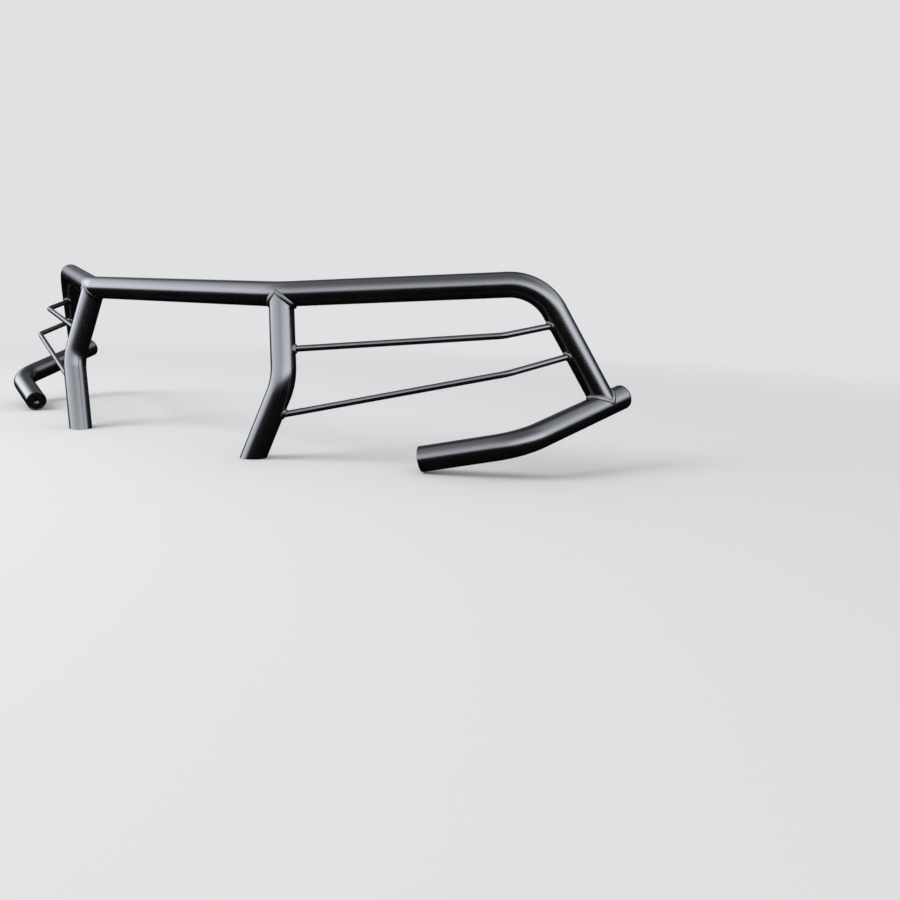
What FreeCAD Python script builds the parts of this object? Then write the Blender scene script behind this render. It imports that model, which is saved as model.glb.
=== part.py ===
import FreeCAD, Part

# Front grille guard of bent steel tube for a utility side-by-side vehicle.
#
# Frame: origin midway between the feet of the two uprights, on the plane they
# stand on. +Z is up, +X is the vehicle's left and the guard faces -Y. The guard
# is mirror-symmetric about X = 0, so every corner below is given for the left
# half only, and the right half has its X turned round.

import math
import os
import Sketcher

# Driving dimensions, in millimetres. A corner is where the centre lines of two
# straight runs would cross, as "out" (X), "back" (Y) and "up" (Z).
SIZES = {
    "tube_dia": 38.1,
    "tube_wall": 2.1,
    "tube_bend": 76.2,
    "rod_dia": 9.5,
    "rod_bend": 25.0,
    # centre bar's end, the bend above each upright
    "bar_end_out": 230.0,
    "bar_end_back": 43.5,
    "bar_end_up": 247.0,
    # outer bend of the hoop, above the headlight's outer edge
    "shoulder_out": 573.5,
    "shoulder_back": 230.0,
    "shoulder_up": 274.5,
    # bend half-way down the upright, and its foot
    "knee_out": 259.5,
    "knee_back": 21.0,
    "knee_up": 118.5,
    "foot_out": 216.0,
    # side bar: front end, bend and rear end
    "nose_out": 474.0,
    "nose_back": 79.5,
    "nose_up": 18.6,
    "elbow_out": 610.5,
    "elbow_back": 132.0,
    "elbow_up": 50.5,
    "tail_out": 663.7,
    "tail_back": 339.5,
    "tail_up": 105.6,
    # the hoop's leg lands this far ahead of the side bar's rear end
    "tail_overhang": 38.5,
    # heights at which the two thin rods meet the upright and the hoop's leg
    "upper_rod_front_up": 165.0,
    "upper_rod_rear_up": 216.0,
    "lower_rod_front_up": 63.0,
    "lower_rod_rear_up": 172.0,
    # bends of the two thin rods
    "upper_rod_out": 552.5,
    "upper_rod_back": 166.0,
    "upper_rod_up": 198.0,
    "lower_rod_out": 569.5,
    "lower_rod_back": 154.5,
    "lower_rod_up": 145.0,
    # tapped plugs welded into the four mounting ends, drilled for an M10 thread
    "plug_length": 20.0,
    "tap_drill_dia": 8.5,
    # end caps pushed into the side bars' rear ends
    "cap_head": 3.0,
    "cap_edge": 2.0,
    "cap_stem": 16.0,
    "cap_stem_wall": 2.5,
    # weld beads: section radius between tubes, how far it sinks in, and the rods'
    "tube_weld": 2.6,
    "weld_depth": 1.8,
    "weld_gap": 0.4,
    "rod_weld": 2.6,
}

SIDES = {"left": 1, "right": -1}
RODS = ("upper", "lower")
SEAM_POINTS = 14
SEAM_HALVINGS = 24
ARC_SHARE = 0.9
CUTTER_SPAN = 2000.0
UP = FreeCAD.Vector(0, 0, 1)

doc = FreeCAD.newDocument("grille_guard")
sheet = doc.addObject("Spreadsheet::Sheet", "Sizes")
for row, (alias, value) in enumerate(SIZES.items(), start=1):
    sheet.set("A%d" % row, alias)
    sheet.set("B%d" % row, str(value))
    sheet.setAlias("B%d" % row, alias)
doc.recompute()

sub_parts = []


def size(alias):
    """Value of one cell of the sheet."""
    return float(sheet.get(alias))


def name_sub_part(obj, label):
    """Give a finished sub-part the label that names its file."""
    obj.Label = label
    sub_parts.append(obj)
    return obj


# ---------------------------------------------------------------- geometry


def corner(name, side):
    """A named corner of the centre lines, on the left (1) or right (-1)."""
    return FreeCAD.Vector(side * size(name + "_out"), size(name + "_back"), size(name + "_up"))


def at_height(start, end, height):
    """The point on the line from start to end that has the given height."""
    return start + (end - start) * ((height - start.z) / (end.z - start.z))


def foot(side):
    """Foot of an upright, level with the origin."""
    return FreeCAD.Vector(side * size("foot_out"), 0, 0)


def leg_end(side):
    """Where the hoop's leg meets the side bar's centre line."""
    tail = corner("tail", side)
    forward = (corner("elbow", side) - tail).normalize()
    return tail + forward * size("tail_overhang")


def rod_corners(rod, side, upright_corners):
    """Front end, bend and rear end of a thin rod's centre line."""
    height = size(rod + "_rod_front_up")
    top, knee, base = upright_corners
    front = at_height(knee, top, height) if height > knee.z else at_height(base, knee, height)
    rear = at_height(corner("shoulder", side), leg_end(side), size(rod + "_rod_rear_up"))
    return [front, corner(rod + "_rod", side), rear]


def bent_wire(corners, radius):
    """Straight runs between the corners, joined by tangent arcs."""
    edges = []
    start = corners[0]
    for before, here, after in zip(corners, corners[1:], corners[2:]):
        back = (before - here).normalize()
        ahead = (after - here).normalize()
        half_angle = back.getAngle(ahead) / 2
        setback = radius / math.tan(half_angle)
        middle_gap = radius / math.sin(half_angle) - radius
        arc_start = here + back * setback
        arc_middle = here + (back + ahead).normalize() * middle_gap
        arc_end = here + ahead * setback
        edges.append(Part.LineSegment(start, arc_start).toShape())
        edges.append(Part.Arc(arc_start, arc_middle, arc_end).toShape())
        start = arc_end
    edges.append(Part.LineSegment(start, corners[-1]).toShape())
    return Part.Wire(edges)


def nearest_point(wire, point):
    """The point of a wire that is closest to another point."""
    return wire.distToShape(Part.Vertex(point))[1][0][0]


def aim(position, direction):
    """Placement whose local Z axis points along direction."""
    return FreeCAD.Placement(position, FreeCAD.Rotation(UP, direction))


# ------------------------------------------------------- document objects


def sweep(name, wire, radius_expression):
    """Round solid of the given radius along a wire."""
    path = doc.addObject("Part::Feature", name + "_path")
    path.Shape = wire
    first = wire.Edges[0]
    section = doc.addObject("Part::Circle", name + "_section")
    section.setExpression("Radius", radius_expression)
    section.Placement = aim(first.valueAt(first.FirstParameter), first.tangentAt(first.FirstParameter))
    solid = doc.addObject("Part::Sweep", name)
    solid.Sections = [section]
    solid.Spine = (path, ["Edge%d" % (number + 1) for number in range(len(wire.Edges))])
    solid.Solid = True
    return solid


def cut(name, base, *tools):
    """Base with every tool taken away in turn."""
    for number, tool in enumerate(tools, start=1):
        result = doc.addObject("Part::Cut", "%s_cut_%d" % (name, number))
        result.Base = base
        result.Tool = tool
        base = result
    return base


def bent_tube(name, wire):
    """Outer solid and hollow tube along the same bent centre line."""
    outer = sweep(name + "_outer", wire, "Sizes.tube_dia / 2")
    inner = sweep(name + "_inner", wire, "Sizes.tube_dia / 2 - Sizes.tube_wall")
    return outer, cut(name + "_hollow", outer, inner)


def round_bar(name, placement, radius_expression, length_expression):
    """Straight cylinder whose size comes from the sheet."""
    bar = doc.addObject("Part::Cylinder", name)
    bar.setExpression("Radius", radius_expression)
    bar.setExpression("Height", length_expression)
    bar.Placement = placement
    return bar


def origin_plane(body, role):
    """One of a body's own origin planes."""
    return [feature for feature in body.Origin.OriginFeatures if feature.Role == role][0]


def circle_sketch(body, name, radius_expression):
    """Circle about the body's own axis, on its XY plane."""
    sketch = body.newObject("Sketcher::SketchObject", name)
    sketch.AttachmentSupport = [(origin_plane(body, "XY_Plane"), "")]
    sketch.MapMode = "FlatFace"
    sketch.addGeometry(Part.Circle(FreeCAD.Vector(0, 0, 0), UP, size("tap_drill_dia")))
    sketch.addConstraint(Sketcher.Constraint("Coincident", 0, 3, -1, 1))
    sketch.addConstraint(Sketcher.Constraint("Radius", 0, size("tap_drill_dia")))
    sketch.setExpression("Constraints[1]", radius_expression)
    return sketch


def pad(body, name, sketch, length_expression, reverse):
    """Pad of a sketch, up the body's Z axis or down it."""
    feature = body.newObject("PartDesign::Pad", name)
    feature.Profile = sketch
    feature.Reversed = reverse
    feature.setExpression("Length", length_expression)
    return feature


# -------------------------------------------------------------- sub-parts


def make_tapped_plug(side_name, side):
    """Plug inside the side bar's front end, drilled and tapped along the bar."""
    body = doc.addObject("PartDesign::Body", "side_bar_plug_" + side_name)
    disc = circle_sketch(body, "plug_disc_" + side_name, "Sizes.tube_dia / 2 - Sizes.tube_wall")
    pad(body, "plug_pad_" + side_name, disc, "Sizes.plug_length", False)
    bore = circle_sketch(body, "plug_bore_" + side_name, "Sizes.tap_drill_dia / 2")
    pocket = body.newObject("PartDesign::Pocket", "plug_pocket_" + side_name)
    pocket.Profile = bore
    pocket.Type = "ThroughAll"
    pocket.Reversed = True
    nose = corner("nose", side)
    body.Placement = aim(nose, corner("elbow", side) - nose)
    return body


def make_foot_plug(side_name, side):
    """Plug inside the upright's foot, cut level and drilled straight up."""
    base = foot(side)
    lean = (corner("knee", side) - base).normalize()
    reach = size("plug_length")
    below = base - lean * reach
    name = "foot_plug_" + side_name
    core = round_bar(name + "_core", aim(below, lean), "Sizes.tube_dia / 2 - Sizes.tube_wall",
                     "Sizes.plug_length * 4")
    slab = doc.addObject("Part::Box", name + "_slab")
    slab.setExpression("Length", "Sizes.tube_dia * 2")
    slab.setExpression("Width", "Sizes.tube_dia * 2")
    slab.setExpression("Height", "Sizes.plug_length")
    half = FreeCAD.Vector(size("tube_dia"), size("tube_dia"), 0)
    slab.Placement = FreeCAD.Placement(base - half, FreeCAD.Rotation())
    disc = doc.addObject("Part::Common", name + "_disc")
    disc.Base = core
    disc.Tool = slab
    tap = round_bar(name + "_tap", aim(base, UP), "Sizes.tap_drill_dia / 2", "Sizes.plug_length")
    return cut(name, disc, tap)


def make_end_cap(side_name, side):
    """Cap with a rounded head outside the tube and a hollow stem inside it."""
    body = doc.addObject("PartDesign::Body", "end_cap_" + side_name)
    head = circle_sketch(body, "cap_head_" + side_name, "Sizes.tube_dia / 2")
    head_pad = pad(body, "cap_head_pad_" + side_name, head, "Sizes.cap_head", False)
    doc.recompute()
    fillet = body.newObject("PartDesign::Fillet", "cap_edge_" + side_name)
    fillet.Base = (head_pad, [outer_edge_name(head_pad.Shape)])
    fillet.setExpression("Radius", "Sizes.cap_edge")
    stem = circle_sketch(body, "cap_stem_" + side_name, "Sizes.tube_dia / 2 - Sizes.tube_wall")
    pad(body, "cap_stem_pad_" + side_name, stem, "Sizes.cap_stem", True)
    hollow = circle_sketch(body, "cap_hollow_" + side_name,
                           "Sizes.tube_dia / 2 - Sizes.tube_wall - Sizes.cap_stem_wall")
    pocket = body.newObject("PartDesign::Pocket", "cap_hollow_pocket_" + side_name)
    pocket.Profile = hollow
    pocket.setExpression("Length", "Sizes.cap_stem")
    tail = corner("tail", side)
    body.Placement = aim(tail, tail - corner("elbow", side))
    return body


def outer_edge_name(shape):
    """Name of the circular edge furthest up the Z axis."""
    heights = [(edge.BoundBox.ZMin, number) for number, edge in enumerate(shape.Edges, start=1)]
    return "Edge%d" % max(heights)[1]


def seam_centres(start, direction, main_wire):
    """Points just outside the seam of a straight branch tube on a main tube.

    The seam is found one generator of the branch at a time, as the place where
    it is one tube radius from the main tube's centre line.
    """
    radius = size("tube_dia") / 2
    across = direction.cross(main_wire.Edges[0].tangentAt(0)).normalize()
    other = direction.cross(across).normalize()
    points = []
    for number in range(SEAM_POINTS):
        angle = 2 * math.pi * (number + 0.5) / SEAM_POINTS
        outward = across * math.cos(angle) + other * math.sin(angle)
        inside = -radius / 2
        outside = radius * 3
        for _ in range(SEAM_HALVINGS):
            reach = (inside + outside) / 2
            point = start + outward * radius + direction * reach
            nearest = nearest_point(main_wire, point)
            if point.distanceToPoint(nearest) < radius:
                inside = reach
            else:
                outside = reach
        main_outward = (point - nearest).normalize()
        raised = (outward + main_outward).normalize() * (size("tube_weld") - size("weld_depth"))
        points.append(point + raised)
    return points


def bead_wire(points):
    """Loop of tangent arcs through the points, open by the weld's start and stop."""
    middles = [(here + after) * 0.5 for here, after in zip(points, points[1:] + points[:1])]
    begin = middles[-1] + (points[0] - middles[-1]).normalize() * size("weld_gap")
    start = begin
    edges = []
    for before, here, after in zip(middles[-1:] + middles[:-1], points, middles):
        back = before - here
        ahead = after - here
        setback = ARC_SHARE * min(back.Length, ahead.Length)
        back.normalize()
        ahead.normalize()
        half_angle = back.getAngle(ahead) / 2
        middle_gap = setback * math.tan(half_angle) * (1 / math.sin(half_angle) - 1)
        arc_start = here + back * setback
        arc_end = here + ahead * setback
        edges.append(Part.LineSegment(start, arc_start).toShape())
        edges.append(Part.Arc(arc_start, here + (back + ahead).normalize() * middle_gap, arc_end).toShape())
        start = arc_end
    edges.append(Part.LineSegment(start, middles[-1]).toShape())
    return Part.Wire(edges)


def make_seam_bead(name, start, direction, main_wire):
    """Round bead along a seam, sunk into both tube walls."""
    return sweep(name, bead_wire(seam_centres(start, direction, main_wire)), "Sizes.tube_weld")


def make_rod_bead(name, end, beyond, tube_axis, tube, rod):
    """Tapered collar round a thin rod where it meets a tube."""
    along = (beyond - end).normalize()
    depth = size("tube_dia") / 2 / math.sin(along.getAngle(tube_axis))
    collar = doc.addObject("Part::Cone", name + "_collar")
    collar.setExpression("Radius1", "Sizes.rod_dia / 2 + Sizes.rod_weld * 2")
    collar.setExpression("Radius2", "Sizes.rod_dia / 2")
    collar.setExpression("Height", "Sizes.rod_weld * 2")
    collar.Placement = aim(end + along * (depth - size("rod_weld")), along)
    return cut(name, collar, tube, rod)


def make_group(name, members):
    """Separate solids that share one node."""
    group = doc.addObject("Part::Compound", name)
    group.Links = members
    return group


hoop_corners = [leg_end(-1), corner("shoulder", -1), corner("bar_end", -1),
                corner("bar_end", 1), corner("shoulder", 1), leg_end(1)]
hoop_wire = bent_wire(hoop_corners, size("tube_bend"))
hoop_outer, hoop_hollow = bent_tube("hoop", hoop_wire)

ground = doc.addObject("Part::Box", "below_foot_plane")
ground.Length = CUTTER_SPAN
ground.Width = CUTTER_SPAN
ground.Height = CUTTER_SPAN
ground.Placement.Base = FreeCAD.Vector(-CUTTER_SPAN / 2, -CUTTER_SPAN / 2, -CUTTER_SPAN)

side_bar_outers = []
for side_name, side in SIDES.items():
    nose = corner("nose", side)
    elbow = corner("elbow", side)
    tail = corner("tail", side)
    side_wire = bent_wire([nose, elbow, tail], size("tube_bend"))
    side_outer, side_hollow = bent_tube("side_bar_" + side_name, side_wire)
    side_bar_outers.append(side_outer)
    name_sub_part(side_hollow, "side_bar_" + side_name)

    top = nearest_point(hoop_wire, corner("bar_end", side))
    knee = corner("knee", side)
    base = foot(side)
    past_foot = base + (base - knee).normalize() * size("tube_dia")
    upright_wire = bent_wire([top, knee, past_foot], size("tube_bend"))
    upright_outer, upright_hollow = bent_tube("upright_" + side_name, upright_wire)
    upright = cut("upright_" + side_name, upright_hollow, hoop_outer, ground)
    name_sub_part(upright, "upright_" + side_name)

    leg = leg_end(side) - corner("shoulder", side)
    front_beads = []
    rear_beads = []
    for rod in RODS:
        name = "%s_rod_%s" % (rod, side_name)
        front, bend, rear = rod_corners(rod, side, [top, knee, base])
        bar = sweep(name + "_bar", bent_wire([front, bend, rear], size("rod_bend")), "Sizes.rod_dia / 2")
        name_sub_part(cut(name, bar, upright_outer, hoop_outer), name)
        run = top - knee if front.z > knee.z else knee - base
        front_beads.append(make_rod_bead(name + "_front_weld", front, bend, run, upright_outer, bar))
        rear_beads.append(make_rod_bead(name + "_rear_weld", rear, bend, leg, hoop_outer, bar))
    name_sub_part(make_group("front_rod_welds_" + side_name, front_beads), "rod_front_welds_" + side_name)
    name_sub_part(make_group("rear_rod_welds_" + side_name, rear_beads), "rod_rear_welds_" + side_name)

    name_sub_part(make_seam_bead("top_weld_" + side_name, top, (knee - top).normalize(), hoop_wire),
                  "upright_weld_" + side_name)
    name_sub_part(make_seam_bead("end_weld_" + side_name, leg_end(side), leg.normalize() * -1, side_wire),
                  "hoop_leg_weld_" + side_name)
    name_sub_part(make_foot_plug(side_name, side), "foot_plug_" + side_name)
    name_sub_part(make_tapped_plug(side_name, side), "side_bar_plug_" + side_name)
    name_sub_part(make_end_cap(side_name, side), "end_cap_" + side_name)

name_sub_part(cut("hoop", hoop_hollow, *side_bar_outers), "hoop_tube")
doc.recompute()

for obj in doc.Objects:
    if "Invalid" in obj.State or "Error" in obj.State:
        raise RuntimeError("%s failed: %s" % (obj.Label, obj.State))

os.makedirs("parts", exist_ok=True)
for obj in sub_parts:
    shape = obj.Shape
    if shape.isNull() or not shape.isValid() or not shape.Solids:
        raise RuntimeError("%s has no valid solid" % obj.Label)
    shape.exportStep("parts/%s.step" % obj.Label)
    print("%-26s %2d solid(s) %10.1f mm3" % (obj.Label, len(shape.Solids), shape.Volume))
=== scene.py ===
import math

import bpy
import numpy as np
from mathutils import Matrix, Vector


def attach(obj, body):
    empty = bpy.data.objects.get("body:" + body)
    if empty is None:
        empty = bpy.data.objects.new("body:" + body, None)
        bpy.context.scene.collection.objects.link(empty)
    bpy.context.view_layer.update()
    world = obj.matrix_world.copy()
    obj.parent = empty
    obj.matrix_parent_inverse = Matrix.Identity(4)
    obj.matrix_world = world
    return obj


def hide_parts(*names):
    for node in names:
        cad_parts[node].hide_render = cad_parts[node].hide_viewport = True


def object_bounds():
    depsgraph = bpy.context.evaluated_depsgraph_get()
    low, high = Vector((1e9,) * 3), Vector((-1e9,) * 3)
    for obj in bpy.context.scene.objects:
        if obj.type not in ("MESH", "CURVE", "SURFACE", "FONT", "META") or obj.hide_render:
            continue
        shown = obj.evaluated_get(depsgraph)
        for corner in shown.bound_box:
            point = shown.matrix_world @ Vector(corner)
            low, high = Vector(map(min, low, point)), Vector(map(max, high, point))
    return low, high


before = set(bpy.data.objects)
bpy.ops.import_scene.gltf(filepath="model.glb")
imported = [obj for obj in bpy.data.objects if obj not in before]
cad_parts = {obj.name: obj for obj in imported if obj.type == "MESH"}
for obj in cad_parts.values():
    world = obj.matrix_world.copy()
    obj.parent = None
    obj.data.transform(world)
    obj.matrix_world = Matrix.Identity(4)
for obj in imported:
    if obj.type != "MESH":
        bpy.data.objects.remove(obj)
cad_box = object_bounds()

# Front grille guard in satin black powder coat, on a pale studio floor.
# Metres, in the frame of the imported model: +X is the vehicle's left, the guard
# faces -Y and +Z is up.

# ------------------------------------------------------------------ driving sizes

# Corners of the tubes' centre lines on the vehicle's left, as in the CAD model:
# where two straight runs would cross. The right half has its X turned round.
CORNERS = {
    "bar_end": (0.2300, 0.0435, 0.2470),
    "shoulder": (0.5735, 0.2300, 0.2745),
    "knee": (0.2595, 0.0210, 0.1185),
    "foot": (0.2160, 0.0, 0.0),
    "nose": (0.4740, 0.0795, 0.0186),
    "elbow": (0.6105, 0.1320, 0.0505),
    "tail": (0.6637, 0.3395, 0.1056),
    "upper_rod": (0.5525, 0.1660, 0.1980),
    "lower_rod": (0.5695, 0.1545, 0.1450),
}
# heights at which each thin rod meets the upright and the hoop's leg
ROD_ENDS = {"upper_rod": (0.165, 0.216), "lower_rod": (0.063, 0.172)}
SIDES = {"left": 1, "right": -1}

# outer radii, wall thickness, and centre-line radii of the bends
TUBE_RADIUS = 0.01905
TUBE_WALL = 0.0021
TUBE_BEND = 0.0762
ROD_RADIUS = 0.00475
ROD_BEND = 0.025
# from the side bar's rear end back to the hoop's leg
TAIL_OVERHANG = 0.0385

# points round a tube and a rod, and stations along their runs and bends
TUBE_SEGMENTS = 96
ROD_SEGMENTS = 40
RUN_STEP = 0.012
ARC_STEP = math.radians(2.5)
# size of the disc that closes a rod's hidden end, as a share of the rod's
ROD_DISC = 0.1
# length kept free of stations at a shaped end, in tube radii
COPE_ROOM = 1.8
# edges that turn further than this are kept crisp
SHARP_ANGLE = math.radians(38)
# radius and steps of a square end's rounding, and how many radii behind it the
# ring is that keeps the wall's shading straight
EDGE_ROUND = 0.0005
EDGE_STEPS = 4
EDGE_HOLD = 3
# passes that settle where a line lands on a bent tube
SEAM_ROUNDS = 6
# Z of a heading from which it counts as upright
UPRIGHT_HEADING = 0.9

# fillet beads: legs, crown and root as shares of a leg, depth that the toes are
# sunk into the walls, and faces across the bead
TUBE_WELD_LEG = 0.0042
ROD_WELD_LEG = 0.0034
WELD_CROWN = 0.22
WELD_ROOT = 0.3
WELD_SINK = 0.0003
WELD_FACE = 12
# a seam's length against the circle round the branch
SEAM_STRETCH = 1.1
# slow unevenness of a bead's legs: waves per turn, share of the leg, phase
WELD_WAVES = ((3, 0.05, 1), (7, 0.04, 0))
# ripples of a bead, how far their middle trails their edges, and how blunt they are
RIPPLE_PITCH = 0.0021
RIPPLE_STEPS = 8
RIPPLE_HEIGHT = 0.00032
RIPPLE_TRAIL = 0.7
RIPPLE_BLUNT = 0.6

# plugs in the feet and side bars, with an M10 x 1.5 thread
PLUG_LENGTH = 0.020
PLUG_RECESS = 0.0006
PLUG_CHAMFER = 0.0012
# rings across a plug's face, as shares of the way from the bore to the wall
PLUG_RINGS = (0.35, 0.7)
COUNTERSINK = 0.0004
THREAD_MINOR = 0.00425
THREAD_MAJOR = 0.0050
THREAD_PITCH = 0.0015
THREAD_STEPS = 10
THREAD_SEGMENTS = 64
# thread form: depth in the middle of a groove, capped at 1, and how fast it falls
# off to the crests
GROOVE_TOP = 1.15
GROOVE_SLOPE = 1.3

# ------------------------------------------------------------------ studio values

# turns in degrees, lens in millimetres
CAMERA_PLACE = Vector((1.2796, -1.0284, 0.2609))
CAMERA_YAW = 34.11
CAMERA_PITCH = 9.38
CAMERA_ROLL = 1.72
CAMERA_LENS = 38.48
CAMERA_SHIFT = (-0.0028, -0.0010)
CAMERA_NEAR = 0.01

FLOOR_SIZE = 60.0
FLOOR_DROP = 0.0005
# distances from the guard between which the floor melts into the backdrop
FLOOR_FADE_FROM = 0.9
FLOOR_FADE_TO = 3.2
FLOOR_COLOUR = (0.74, 0.745, 0.75, 1.0)
BACKDROP_COLOUR = (0.745, 0.755, 0.765, 1.0)

KEY_PLACE = Vector((-1.2, -2.0, 2.4))
KEY_SIZE = 1.8
KEY_WATTS = 55.0

# What gloss sees of the studio. The band gives levels by height, from -1 straight
# down to 1 straight up. Each glow or shade is a direction with the levels round
# it, by how nearly a ray points that way, from -1 to 1.
BAND = [(-1.0, 0.0), (-0.05, 0.001), (0.01, 0.55), (0.06, 0.95), (0.32, 1.0),
        (0.56, 0.54), (0.72, 0.30), (0.86, 0.17), (1.0, 0.13)]
FRONT_GLOW = ((0.45, -0.89, 0.0), [
    (-1.0, 0.04), (-0.74, 0.045), (-0.58, 0.08), (-0.44, 0.42), (-0.20, 0.82),
    (0.04, 1.0), (0.55, 0.93), (1.0, 0.78)])
LEFT_GLOW = ((0.92, -0.32, 0.23), [(0.72, 0.0), (0.93, 0.42)])
RIGHT_GLOW = ((-0.975, 0.02, 0.22), [(0.90, 0.0), (0.98, 0.26)])
BACK_SHADE = ((0.50, 0.87, 0.0), [(0.81, 1.0), (0.94, 0.06)])
BACK_GLOW = ((0.35, 0.55, 0.76), [(0.84, 0.0), (0.98, 0.14)])
# the band starts this much higher, except towards the front right
BAND_LIFT = ((-0.80, -0.60, 0.0), [(0.78, 0.10), (0.96, 0.0)])
SURROUND_TINT = (0.93, 0.96, 1.06, 1.0)
SURROUND_STRENGTH = 5.9

# darkest and lightest colour of each finish, and where a pattern reaches them
COAT_COLOURS = ((0.0032, 0.0033, 0.0035), (0.0052, 0.0053, 0.0056))
STEEL_COLOURS = ((0.060, 0.058, 0.056), (0.125, 0.125, 0.128))
PLASTIC_COLOURS = ((0.007, 0.007, 0.0075), (0.011, 0.011, 0.0115))
COAT_RANGE = (0.3, 0.7)
STEEL_RANGE = (0.35, 0.7)
PLASTIC_RANGE = (0.3, 0.7)
# roughness where the pattern is low and high; the coat's is added to its own
COAT_SPREAD = (-0.03, 0.04)
STEEL_ROUGHNESS = (0.28, 0.46)
PLASTIC_ROUGHNESS = (0.34, 0.44)


# ------------------------------------------------------------------ node helpers


def new_material(name):
    """Node-based material without nodes."""
    material = bpy.data.materials.new(name)
    material.use_nodes = True
    material.node_tree.nodes.clear()
    return material


def add_node(tree, kind, **values):
    """New node with its settings and its sockets' values, by name."""
    node = tree.nodes.new("ShaderNode" + kind)
    for name, value in values.items():
        if hasattr(node, name):
            setattr(node, name, value)
        else:
            node.inputs[name.replace("_", " ")].default_value = value
    return node


def join(tree, source, target):
    """Link between two sockets."""
    tree.links.new(source, target)


def ramp(tree, source, stops):
    """Colour by a value from 0 to 1; each stop is a position and a colour."""
    node = tree.nodes.new("ShaderNodeValToRGB")
    elements = node.color_ramp.elements
    while len(elements) < len(stops):
        elements.new(0.5)
    for element, (position, colour) in zip(elements, stops):
        element.position = position
        element.color = (*colour, 1.0)
    join(tree, source, node.inputs["Fac"])
    return node.outputs["Color"]


def levels(tree, source, stops):
    """Grey by a value from -1 to 1; each stop is a value and a level."""
    share = add_node(tree, "MapRange", clamp=True, From_Min=-1.0)
    join(tree, source, share.inputs["Value"])
    stops = [((value + 1) / 2, (level, level, level)) for value, level in stops]
    return ramp(tree, share.outputs["Result"], stops)


def towards(tree, way, direction, stops):
    """Grey by how nearly a ray points in a direction, from -1 to 1."""
    facing = add_node(tree, "VectorMath", operation="DOT_PRODUCT")
    join(tree, way, facing.inputs[0])
    facing.inputs[1].default_value = direction
    return levels(tree, facing.outputs["Value"], stops)


def blend_colours(tree, blend_type, first, second):
    """Two colours added or multiplied in full; the second may be a plain colour."""
    mix = add_node(tree, "Mix", data_type="RGBA", blend_type=blend_type)
    mix.inputs[0].default_value = 1.0
    join(tree, first, mix.inputs[6])
    if isinstance(second, tuple):
        mix.inputs[7].default_value = second
    else:
        join(tree, second, mix.inputs[7])
    return mix.outputs[2]


def blend_shaders(tree, share, first, second):
    """Two shaders mixed by a share of the second."""
    mix = add_node(tree, "MixShader")
    for number, source in enumerate((share, first, second)):
        join(tree, source, mix.inputs[number])
    return mix.outputs[0]


def put_out(tree, kind, shader):
    """Output node of a material or world, fed by a shader."""
    join(tree, shader, add_node(tree, kind).inputs["Surface"])


# ------------------------------------------------------------------ camera


def make_camera():
    """Camera at the three-quarter view from the vehicle's front left."""
    yaw, pitch, roll = (math.radians(a) for a in (CAMERA_YAW, CAMERA_PITCH, CAMERA_ROLL))
    ahead = Vector((-math.sin(yaw) * math.cos(pitch), math.cos(yaw) * math.cos(pitch),
                    -math.sin(pitch)))
    level = Vector((math.cos(yaw), math.sin(yaw), 0.0))
    above = level.cross(ahead)
    right = level * math.cos(roll) + above * math.sin(roll)
    up = above * math.cos(roll) - level * math.sin(roll)
    data = bpy.data.cameras.new("camera")
    data.lens = CAMERA_LENS
    data.shift_x, data.shift_y = CAMERA_SHIFT
    data.clip_start = CAMERA_NEAR
    camera = bpy.data.objects.new("camera", data)
    turn = Matrix((right, up, -ahead)).transposed()
    camera.matrix_world = Matrix.Translation(CAMERA_PLACE) @ turn.to_4x4()
    bpy.context.scene.collection.objects.link(camera)
    bpy.context.scene.camera = camera


# ------------------------------------------------------------------ studio


def make_surround():
    """Pale backdrop for the camera, and a studio surround for gloss.

    Gloss sees a broad bright band just above the horizon in front of the guard,
    glows on its left, on its right and high behind it, a dimmer top, a shade
    straight behind it and a dark ground.
    """
    world = bpy.data.worlds.new("studio")
    world.use_nodes = True
    bpy.context.scene.world = world
    tree = world.node_tree
    tree.nodes.clear()
    way = add_node(tree, "TexCoord").outputs["Generated"]
    parts = add_node(tree, "SeparateXYZ")
    join(tree, way, parts.inputs[0])
    height = add_node(tree, "Math", operation="SUBTRACT")
    join(tree, parts.outputs["Z"], height.inputs[0])
    join(tree, towards(tree, way, *BAND_LIFT), height.inputs[1])
    band = levels(tree, height.outputs["Value"], BAND)
    around = blend_colours(tree, "ADD", towards(tree, way, *LEFT_GLOW),
                           towards(tree, way, *RIGHT_GLOW))
    around = blend_colours(tree, "ADD", towards(tree, way, *FRONT_GLOW), around)
    around = blend_colours(tree, "MULTIPLY", around, towards(tree, way, *BACK_SHADE))
    level = blend_colours(tree, "MULTIPLY", band, around)
    level = blend_colours(tree, "ADD", level, towards(tree, way, *BACK_GLOW))
    gloss = add_node(tree, "Background", Strength=SURROUND_STRENGTH)
    join(tree, blend_colours(tree, "MULTIPLY", level, SURROUND_TINT), gloss.inputs["Color"])
    plain = add_node(tree, "Background", Strength=1.0, Color=BACKDROP_COLOUR)
    ray = add_node(tree, "LightPath").outputs["Is Glossy Ray"]
    put_out(tree, "OutputWorld", blend_shaders(tree, ray, plain.outputs[0], gloss.outputs[0]))


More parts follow.
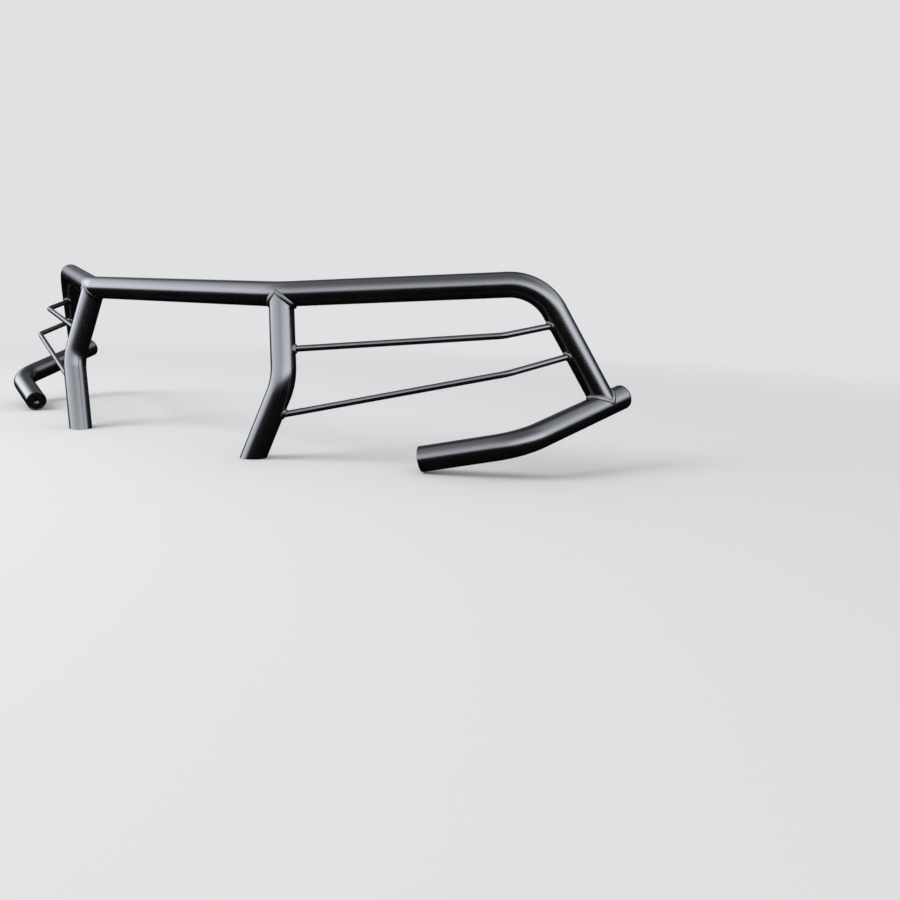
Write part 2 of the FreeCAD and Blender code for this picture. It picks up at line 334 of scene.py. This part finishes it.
def make_floor():
    """Plain pale floor that melts into the backdrop and can't be seen from below."""
    material = new_material("studio_floor")
    tree = material.node_tree
    place = add_node(tree, "NewGeometry")
    far = add_node(tree, "VectorMath", operation="LENGTH")
    join(tree, place.outputs["Position"], far.inputs[0])
    fade = add_node(tree, "MapRange", interpolation_type="SMOOTHSTEP",
                    From_Min=FLOOR_FADE_FROM, From_Max=FLOOR_FADE_TO)
    join(tree, far.outputs["Value"], fade.inputs["Value"])
    lit = add_node(tree, "BsdfDiffuse", Color=FLOOR_COLOUR)
    glow = add_node(tree, "Emission", Strength=1.0, Color=BACKDROP_COLOUR)
    above = blend_shaders(tree, fade.outputs["Result"], lit.outputs[0], glow.outputs[0])
    below = add_node(tree, "BsdfTransparent")
    put_out(tree, "OutputMaterial",
            blend_shaders(tree, place.outputs["Backfacing"], above, below.outputs[0]))

    low = cad_box[0].z - FLOOR_DROP
    half = FLOOR_SIZE / 2
    mesh = bpy.data.meshes.new("studio_floor")
    mesh.from_pydata([(x * half, y * half, low) for x, y in ((-1, -1), (1, -1), (1, 1), (-1, 1))],
                     [], [(0, 1, 2, 3)])
    mesh.materials.append(material)
    floor = bpy.data.objects.new("studio_floor", mesh)
    floor.visible_glossy = False
    bpy.context.scene.collection.objects.link(floor)


def make_key_light():
    """Large square soft light aimed at the guard's middle, for shade and shadow only."""
    data = bpy.data.lights.new("key_light", "AREA")
    data.shape = "SQUARE"
    data.size = KEY_SIZE
    data.energy = KEY_WATTS
    light = bpy.data.objects.new("key_light", data)
    target = (cad_box[0] + cad_box[1]) / 2
    light.location = KEY_PLACE
    light.rotation_mode = "QUATERNION"
    light.rotation_quaternion = (target - KEY_PLACE).to_track_quat("-Z", "Y")
    light.visible_glossy = False
    bpy.context.scene.collection.objects.link(light)


# ------------------------------------------------------------------ materials


def start_finish(name, **values):
    """Material with a principled shader, and the coordinates for its textures."""
    material = new_material(name)
    tree = material.node_tree
    where = add_node(tree, "TexCoord").outputs["Object"]
    shader = add_node(tree, "BsdfPrincipled", **values)
    put_out(tree, "OutputMaterial", shader.outputs[0])
    return material, tree, where, shader


def texture(tree, where, kind, output, **values):
    """Output of a texture laid over the object."""
    node = add_node(tree, kind, **values)
    join(tree, where, node.inputs["Vector"])
    return node.outputs[output]


def vary(tree, pattern, shader, colours, reach, roughness):
    """Colour and roughness that follow a pattern between a low and a high value."""
    join(tree, ramp(tree, pattern, list(zip(reach, colours))), shader.inputs["Base Color"])
    dull = add_node(tree, "MapRange", To_Min=roughness[0], To_Max=roughness[1])
    join(tree, pattern, dull.inputs["Value"])
    join(tree, dull.outputs["Result"], shader.inputs["Roughness"])


def roughen(tree, pattern, shader, strength, distance):
    """Fine relief that follows a pattern."""
    bump = add_node(tree, "Bump", Strength=strength, Distance=distance)
    join(tree, pattern, bump.inputs["Height"])
    join(tree, bump.outputs["Normal"], shader.inputs["Normal"])


def powder_coat(name, grain, roughness):
    """Satin black powder coat with faint cloudiness and orange peel as fine as grain."""
    material, tree, where, shader = start_finish(name, IOR=1.5, Specular_IOR_Level=0.9)
    cloud = texture(tree, where, "TexNoise", "Fac", Scale=9.0, Detail=4.0, Roughness=0.55)
    vary(tree, cloud, shader, COAT_COLOURS, COAT_RANGE,
         [roughness + change for change in COAT_SPREAD])
    peel = texture(tree, where, "TexNoise", "Fac", Scale=grain, Detail=1.0, Roughness=0.3)
    roughen(tree, peel, shader, 0.075, 0.0004)
    return material


def bare_steel(name):
    """Machined steel in the threads, with a light film of oil."""
    material, tree, where, shader = start_finish(name, Metallic=1.0)
    stain = texture(tree, where, "TexNoise", "Fac", Scale=260.0, Detail=3.0, Roughness=0.6)
    vary(tree, stain, shader, STEEL_COLOURS, STEEL_RANGE, STEEL_ROUGHNESS)
    chatter = texture(tree, where, "TexNoise", "Fac", Scale=2400.0, Detail=2.0, Roughness=0.5)
    roughen(tree, chatter, shader, 0.3, 0.00005)
    return material


def moulded_plastic(name):
    """Black plastic with a fine spark-eroded grain."""
    material, tree, where, shader = start_finish(name, IOR=1.48)
    tone = texture(tree, where, "TexNoise", "Fac", Scale=45.0, Detail=3.0, Roughness=0.5)
    vary(tree, tone, shader, PLASTIC_COLOURS, PLASTIC_RANGE, PLASTIC_ROUGHNESS)
    grain = texture(tree, where, "TexVoronoi", "Distance", Scale=2600.0)
    roughen(tree, grain, shader, 0.35, 0.00006)
    return material


# ------------------------------------------------------------------ centre lines


def unit(vector):
    """The vector at length one."""
    return vector / np.linalg.norm(vector)


def corner(name, side):
    """A named corner on the left (1) or right (-1)."""
    return np.array(CORNERS[name]) * (side, 1, 1)


def at_height(start, end, height):
    """The point on the line from start to end that has the given height."""
    return start + (end - start) * (height - start[2]) / (end[2] - start[2])


def leg_end(side):
    """Where the hoop's leg meets the side bar's centre line."""
    tail = corner("tail", side)
    return tail + unit(corner("elbow", side) - tail) * TAIL_OVERHANG


def straight_run(start, end, heading):
    """Stations from start towards end, without the end itself."""
    count = max(1, math.ceil(np.linalg.norm(end - start) / RUN_STEP))
    return [(start + (end - start) * number / count, heading) for number in range(count)]


def bent_line(corners, bend):
    """Places and headings along straight runs joined by tangent arcs."""
    stations = []
    begin = corners[0]
    for before, here, after in zip(corners, corners[1:], corners[2:]):
        arrive = unit(here - before)
        leave = unit(after - here)
        turn = math.acos(arrive @ leave)
        setback = bend * math.tan(turn / 2)
        start = here - arrive * setback
        inward = unit(leave - arrive * (arrive @ leave))
        stations += straight_run(begin, start, arrive)
        count = math.ceil(turn / ARC_STEP)
        for number in range(count):
            angle = turn * number / count
            heading = arrive * math.cos(angle) + inward * math.sin(angle)
            place = start + (arrive * math.sin(angle) + inward * (1 - math.cos(angle))) * bend
            stations.append((place, heading))
        begin = here + leave * setback
    last = unit(corners[-1] - corners[-2])
    return stations + straight_run(begin, corners[-1], last) + [(corners[-1], last)]


def nearest(line, point):
    """The closest point of a centre line, and the line's direction there."""
    places = np.array([place for place, _ in line])
    starts = places[:-1]
    steps = places[1:] - starts
    share = np.einsum("ij,ij->i", point - starts, steps) / np.einsum("ij,ij->i", steps, steps)
    spots = starts + steps * np.clip(share, 0, 1)[:, None]
    best = np.argmin(np.linalg.norm(spots - point, axis=1))
    return spots[best], unit(steps[best])


def seam_reach(line, point, heading):
    """How far along heading a point travels to land on the wall of a tube."""
    reach = -TUBE_RADIUS
    for _ in range(SEAM_ROUNDS):
        spot, axis = nearest(line, point + heading * reach)
        across = heading - axis * (heading @ axis)
        offset = (point - spot) - axis * ((point - spot) @ axis)
        squared = across @ across
        slope = across @ offset
        inside = slope * slope - squared * (offset @ offset - TUBE_RADIUS ** 2)
        reach = (-slope - math.sqrt(max(inside, 0.0))) / squared
    return reach


def sideways(heading):
    """A direction square to the heading."""
    upright = abs(heading[2]) >= UPRIGHT_HEADING
    return unit(np.cross(heading, (1, 0, 0) if upright else (0, 0, 1)))


# ------------------------------------------------------------------ mesh making


def ring_faces(count, around, base=0, closed=True):
    """Quads between rings of points in order; the last ring joins the first if closed."""
    faces = []
    for row in range(count if closed else count - 1):
        here = base + row * around
        after = base + (row + 1) % count * around
        for number in range(around):
            beyond = (number + 1) % around
            faces.append((here + number, here + beyond, after + beyond, after + number))
    return faces


def finish_piece(name, points, faces, node, materials, sharp=None):
    """Smooth-shaded piece that rides on the guard and stands for a CAD node.

    The CAD's bends are faceted a tenth of a millimetre inside the true curve, so
    points are held within its box.
    """
    mesh = bpy.data.meshes.new(name)
    mesh.from_pydata(np.clip(points, *cad_box).tolist(), [], faces)
    mesh.update()
    for material in materials:
        mesh.materials.append(material)
    mesh.shade_smooth()
    if sharp is not None:
        mesh.set_sharp_from_angle(angle=sharp)
    piece = bpy.data.objects.new(name, mesh)
    bpy.context.scene.collection.objects.link(piece)
    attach(piece, "root")
    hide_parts(node)
    return piece


# ------------------------------------------------------------------ tubes and rods


def ring_sides(line):
    """One sideways direction per station, carried along without twist."""
    side = sideways(line[0][1])
    sides = []
    for _, heading in line:
        side = unit(side - heading * (side @ heading))
        sides.append(side)
    return sides


def ring(place, heading, side, radius, segments):
    """Circle of points across a centre line."""
    turns = np.linspace(0, 2 * math.pi, segments, endpoint=False)[:, None]
    return place + radius * (side * np.cos(turns) + np.cross(heading, side) * np.sin(turns))


def along_tube(line):
    """Length travelled at each station."""
    places = np.array([place for place, _ in line])
    return np.concatenate([[0], np.cumsum(np.linalg.norm(np.diff(places, axis=0), axis=1))])


def tube_surface(line, radius, segments, cuts, rounds):
    """Rings of one wall of a tube, first to last, with its two ends shaped.

    A cut moves each point of an end ring along the tube; without one the end is
    square, and gets extra rings that curl inwards (1) or outwards (-1).
    """
    sides = ring_sides(line)
    travel = along_tube(line)
    room = [COPE_ROOM * TUBE_RADIUS if cut else EDGE_ROUND * (EDGE_HOLD + 1) for cut in cuts]
    rows = []
    for number, ((place, heading), side) in enumerate(zip(line, sides)):
        first = number == 0
        last = number == len(line) - 1
        if not first and not last:
            if travel[number] >= room[0] and travel[-1] - travel[number] >= room[1]:
                rows.append(ring(place, heading, side, radius, segments))
            continue
        cut = cuts[0] if first else cuts[1]
        ahead = -heading if first else heading
        if cut:
            points = ring(place, heading, side, radius, segments)
            rows.append(np.array([point + ahead * cut(point, ahead) for point in points]))
            continue
        curl = [ring(place - ahead * EDGE_ROUND * EDGE_HOLD, heading, side, radius, segments)]
        for step in range(EDGE_STEPS + 1):
            angle = math.pi / 2 * step / EDGE_STEPS
            inset = rounds * EDGE_ROUND * (1 - math.cos(angle))
            back = EDGE_ROUND * (1 - math.sin(angle))
            curl.append(ring(place - ahead * back, heading, side, radius - inset, segments))
        rows += curl if last else curl[::-1]
    return rows


def make_tube(name, line, cuts):
    """Hollow tube whose outer and inner walls meet at both ends."""
    outer = tube_surface(line, TUBE_RADIUS, TUBE_SEGMENTS, cuts, 1)
    inner = tube_surface(line, TUBE_RADIUS - TUBE_WALL, TUBE_SEGMENTS, cuts, -1)
    rows = outer + inner[::-1]
    finish_piece(name + "_coated", np.concatenate(rows), ring_faces(len(rows), TUBE_SEGMENTS),
                 name, [coats["tube_coat"]], SHARP_ANGLE)


def make_rod(name, line, cuts):
    """Solid rod; each hidden end closes on a small disc inside the weld."""
    rows = tube_surface(line, ROD_RADIUS, ROD_SEGMENTS, cuts, 1)
    start, finish = (row.mean(axis=0) for row in (rows[0], rows[-1]))
    rows.insert(0, start + (rows[0] - start) * ROD_DISC)
    rows.append(finish + (rows[-1] - finish) * ROD_DISC)
    last = (len(rows) - 1) * ROD_SEGMENTS
    discs = [tuple(range(ROD_SEGMENTS))[::-1], tuple(range(last, last + ROD_SEGMENTS))]
    finish_piece(name + "_coated", np.concatenate(rows),
                 discs + ring_faces(len(rows), ROD_SEGMENTS, closed=False),
                 name, [coats["rod_coat"]], SHARP_ANGLE)


def level_cut(point, ahead):
    """Reach from an end ring's point down to the plane that the feet stand on."""
    return -point[2] / ahead[2]


def cope_on(line):
    """Cut that lands on the wall of the tube along another centre line."""
    return lambda point, ahead: seam_reach(line, point, ahead)


# ------------------------------------------------------------------ welds


def bead_rows(place, heading, radius, line, leg):
    """Sections of a rippled fillet bead round a branch that lands on a tube."""
    side = sideways(heading)
    other = np.cross(heading, side)
    ripples = round(2 * math.pi * (radius + leg / 2) * SEAM_STRETCH / RIPPLE_PITCH)
    count = ripples * RIPPLE_STEPS
    outwards = []
    seam = []
    for number in range(count):
        turn = 2 * math.pi * number / count
        outward = side * math.cos(turn) + other * math.sin(turn)
        point = place + outward * radius
        outwards.append(outward)
        seam.append(point + heading * seam_reach(line, point, heading))
    seam = np.array(seam)
    walls = np.array([unit(point - nearest(line, point)[0]) for point in seam])
    ahead = np.roll(seam, -RIPPLE_STEPS // 2, axis=0) - np.roll(seam, RIPPLE_STEPS // 2, axis=0)
    rows = []
    for number in range(count):
        travel = unit(ahead[number])
        outward = outwards[number]
        wall = walls[number]
        crown = unit(outward + wall)
        turn = 2 * math.pi * number / count
        width = leg * (1 + sum(share * math.sin(waves * turn + phase)
                               for waves, share, phase in WELD_WAVES))
        on_branch = seam[number] + unit(np.cross(travel, outward)) * width
        spoke = (on_branch - place) - heading * ((on_branch - place) @ heading)
        on_branch = on_branch + unit(spoke) * (radius - WELD_SINK - np.linalg.norm(spoke))
        on_tube = seam[number] + unit(np.cross(wall, travel)) * width
        spot = nearest(line, on_tube)[0]
        on_tube = spot + unit(on_tube - spot) * (TUBE_RADIUS - WELD_SINK)
        section = []
        for step in range(WELD_FACE + 1):
            share = step / WELD_FACE
            bulge = 4 * share * (1 - share)
            phase = (number / RIPPLE_STEPS + RIPPLE_TRAIL * bulge) % 1
            ripple = RIPPLE_HEIGHT * abs(math.sin(math.pi * phase)) ** RIPPLE_BLUNT
            lift = bulge * WELD_CROWN * leg + math.sqrt(bulge) * ripple
            section.append(on_branch * (1 - share) + on_tube * share + crown * lift)
        section.append(seam[number] - crown * leg * WELD_ROOT)
        rows.append(section)
    return np.array(rows)


def make_weld(name, beads):
    """One piece from the rows of one or more closed beads."""
    points = []
    faces = []
    for rows in beads:
        count, across, _ = rows.shape
        faces += [(a, d, c, b) for a, b, c, d in ring_faces(count, across, len(points))]
        points.extend(rows.reshape(-1, 3))
    finish_piece(name + "_bead", points, faces, name, [coats["weld_coat"]])


# ------------------------------------------------------------------ threaded plugs


def plug_edge(base, axis, lean, depth, radial):
    """Point of the leaning tube's inner wall, seen from the bore's axis at a depth."""
    start = axis * depth
    across = radial - lean * (radial @ lean)
    offset = start - lean * (start @ lean)
    squared = across @ across
    slope = across @ offset
    gap = offset @ offset - (TUBE_RADIUS - TUBE_WALL) ** 2
    reach = (-slope + math.sqrt(slope * slope - squared * gap)) / squared
    return base + start + radial * reach


def make_plug(name, base, axis, lean):
    """Plug in a tube's end: chamfered rim, countersunk mouth and cut M10 thread."""
    side = sideways(axis)
    other = np.cross(axis, side)
    turns = np.linspace(0, 2 * math.pi, THREAD_SEGMENTS, endpoint=False)
    radials = [side * math.cos(turn) + other * math.sin(turn) for turn in turns]
    mouth = THREAD_MAJOR + COUNTERSINK
    bore = PLUG_LENGTH - PLUG_RECESS
    rows = []
    # thread, from the inner end of the bore out to its countersunk mouth
    threads = round(bore / THREAD_PITCH * THREAD_STEPS)
    for step in range(threads, -1, -1):
        depth = PLUG_RECESS + bore * step / threads
        row = []
        for turn, radial in zip(turns, radials):
            phase = (depth / THREAD_PITCH - turn / (2 * math.pi)) % 1
            groove = min(1.0, max(0.0, GROOVE_TOP - abs(2 * phase - 1) * GROOVE_SLOPE))
            radius = THREAD_MINOR + (THREAD_MAJOR - THREAD_MINOR) * groove
            radius = max(radius, mouth - (depth - PLUG_RECESS))
            row.append(base + axis * depth + radial * radius)
        rows.append(row)

    # outer face, chamfer and rim, then the hidden inner face back to the bore
    def wall(depth):
        return [plug_edge(base, axis, lean, depth, radial) for radial in radials]

    centre = base + axis * PLUG_RECESS
    face = wall(PLUG_RECESS)
    for share in PLUG_RINGS:
        rows.append([edge * share + (centre + radial * mouth) * (1 - share)
                     for edge, radial in zip(face, radials)])
    rows.append([edge - radial * PLUG_CHAMFER for edge, radial in zip(face, radials)])
    rows.append(wall(PLUG_RECESS + PLUG_CHAMFER))
    rows.append(wall(PLUG_LENGTH))
    points = np.array(rows).reshape(-1, 3)
    piece = finish_piece(name + "_threaded", points, ring_faces(len(rows), THREAD_SEGMENTS),
                         name, [coats["plug_steel"], thread_steel], SHARP_ANGLE)
    for polygon in piece.data.polygons[:threads * THREAD_SEGMENTS]:
        polygon.material_index = 1


# ------------------------------------------------------------------ the guard


def build_side(side_name, side, hoop_line):
    """Tubes, rods, welds and plugs on one side; returns the side bar's centre line."""
    nose, elbow, tail, shoulder, knee, foot = (
        corner(name, side) for name in ("nose", "elbow", "tail", "shoulder", "knee", "foot"))
    leg = leg_end(side)
    top = nearest(hoop_line, corner("bar_end", side))[0]

    bar_line = bent_line([nose, elbow, tail], TUBE_BEND)
    make_tube("side_bar_" + side_name, bar_line, (None, None))
    upright_line = bent_line([top, knee, foot], TUBE_BEND)
    make_tube("upright_" + side_name, upright_line, (cope_on(hoop_line), level_cut))

    fronts = []
    rears = []
    for rod, (front_height, rear_height) in ROD_ENDS.items():
        start, end = (top, knee) if front_height > knee[2] else (knee, foot)
        front = at_height(start, end, front_height)
        rear = at_height(shoulder, leg, rear_height)
        line = bent_line([front, corner(rod, side), rear], ROD_BEND)
        make_rod(rod + "_" + side_name, line, (cope_on(upright_line), cope_on(hoop_line)))
        fronts.append(bead_rows(front, -line[0][1], ROD_RADIUS, upright_line, ROD_WELD_LEG))
        rears.append(bead_rows(rear, line[-1][1], ROD_RADIUS, hoop_line, ROD_WELD_LEG))
    make_weld("rod_front_welds_" + side_name, fronts)
    make_weld("rod_rear_welds_" + side_name, rears)

    upright_bead = bead_rows(top, -upright_line[0][1], TUBE_RADIUS, hoop_line, TUBE_WELD_LEG)
    make_weld("upright_weld_" + side_name, [upright_bead])
    leg_bead = bead_rows(leg, unit(leg - shoulder), TUBE_RADIUS, bar_line, TUBE_WELD_LEG)
    make_weld("hoop_leg_weld_" + side_name, [leg_bead])

    make_plug("side_bar_plug_" + side_name, nose, unit(elbow - nose), unit(elbow - nose))
    make_plug("foot_plug_" + side_name, foot, np.array((0.0, 0.0, 1.0)), unit(knee - foot))
    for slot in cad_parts["end_cap_" + side_name].material_slots:
        slot.material = coats["cap_plastic"]
    return bar_line


make_camera()
make_surround()
make_floor()
make_key_light()

thread_steel = bare_steel("thread_steel")
coats = {
    "tube_coat": powder_coat("tube_coat_black", 420.0, 0.21),
    "rod_coat": powder_coat("rod_coat_black", 520.0, 0.21),
    "weld_coat": powder_coat("weld_coat_black", 700.0, 0.24),
    "plug_steel": powder_coat("plug_coat_black", 600.0, 0.27),
    "cap_plastic": moulded_plastic("cap_plastic_black"),
}

hoop_corners = [leg_end(-1), corner("shoulder", -1), corner("bar_end", -1),
                corner("bar_end", 1), corner("shoulder", 1), leg_end(1)]
hoop_line = bent_line(hoop_corners, TUBE_BEND)
bar_lines = {name: build_side(name, side, hoop_line) for name, side in SIDES.items()}
make_tube("hoop_tube", hoop_line, (cope_on(bar_lines["right"]), cope_on(bar_lines["left"])))

bpy.context.scene.view_settings.view_transform = "Standard"
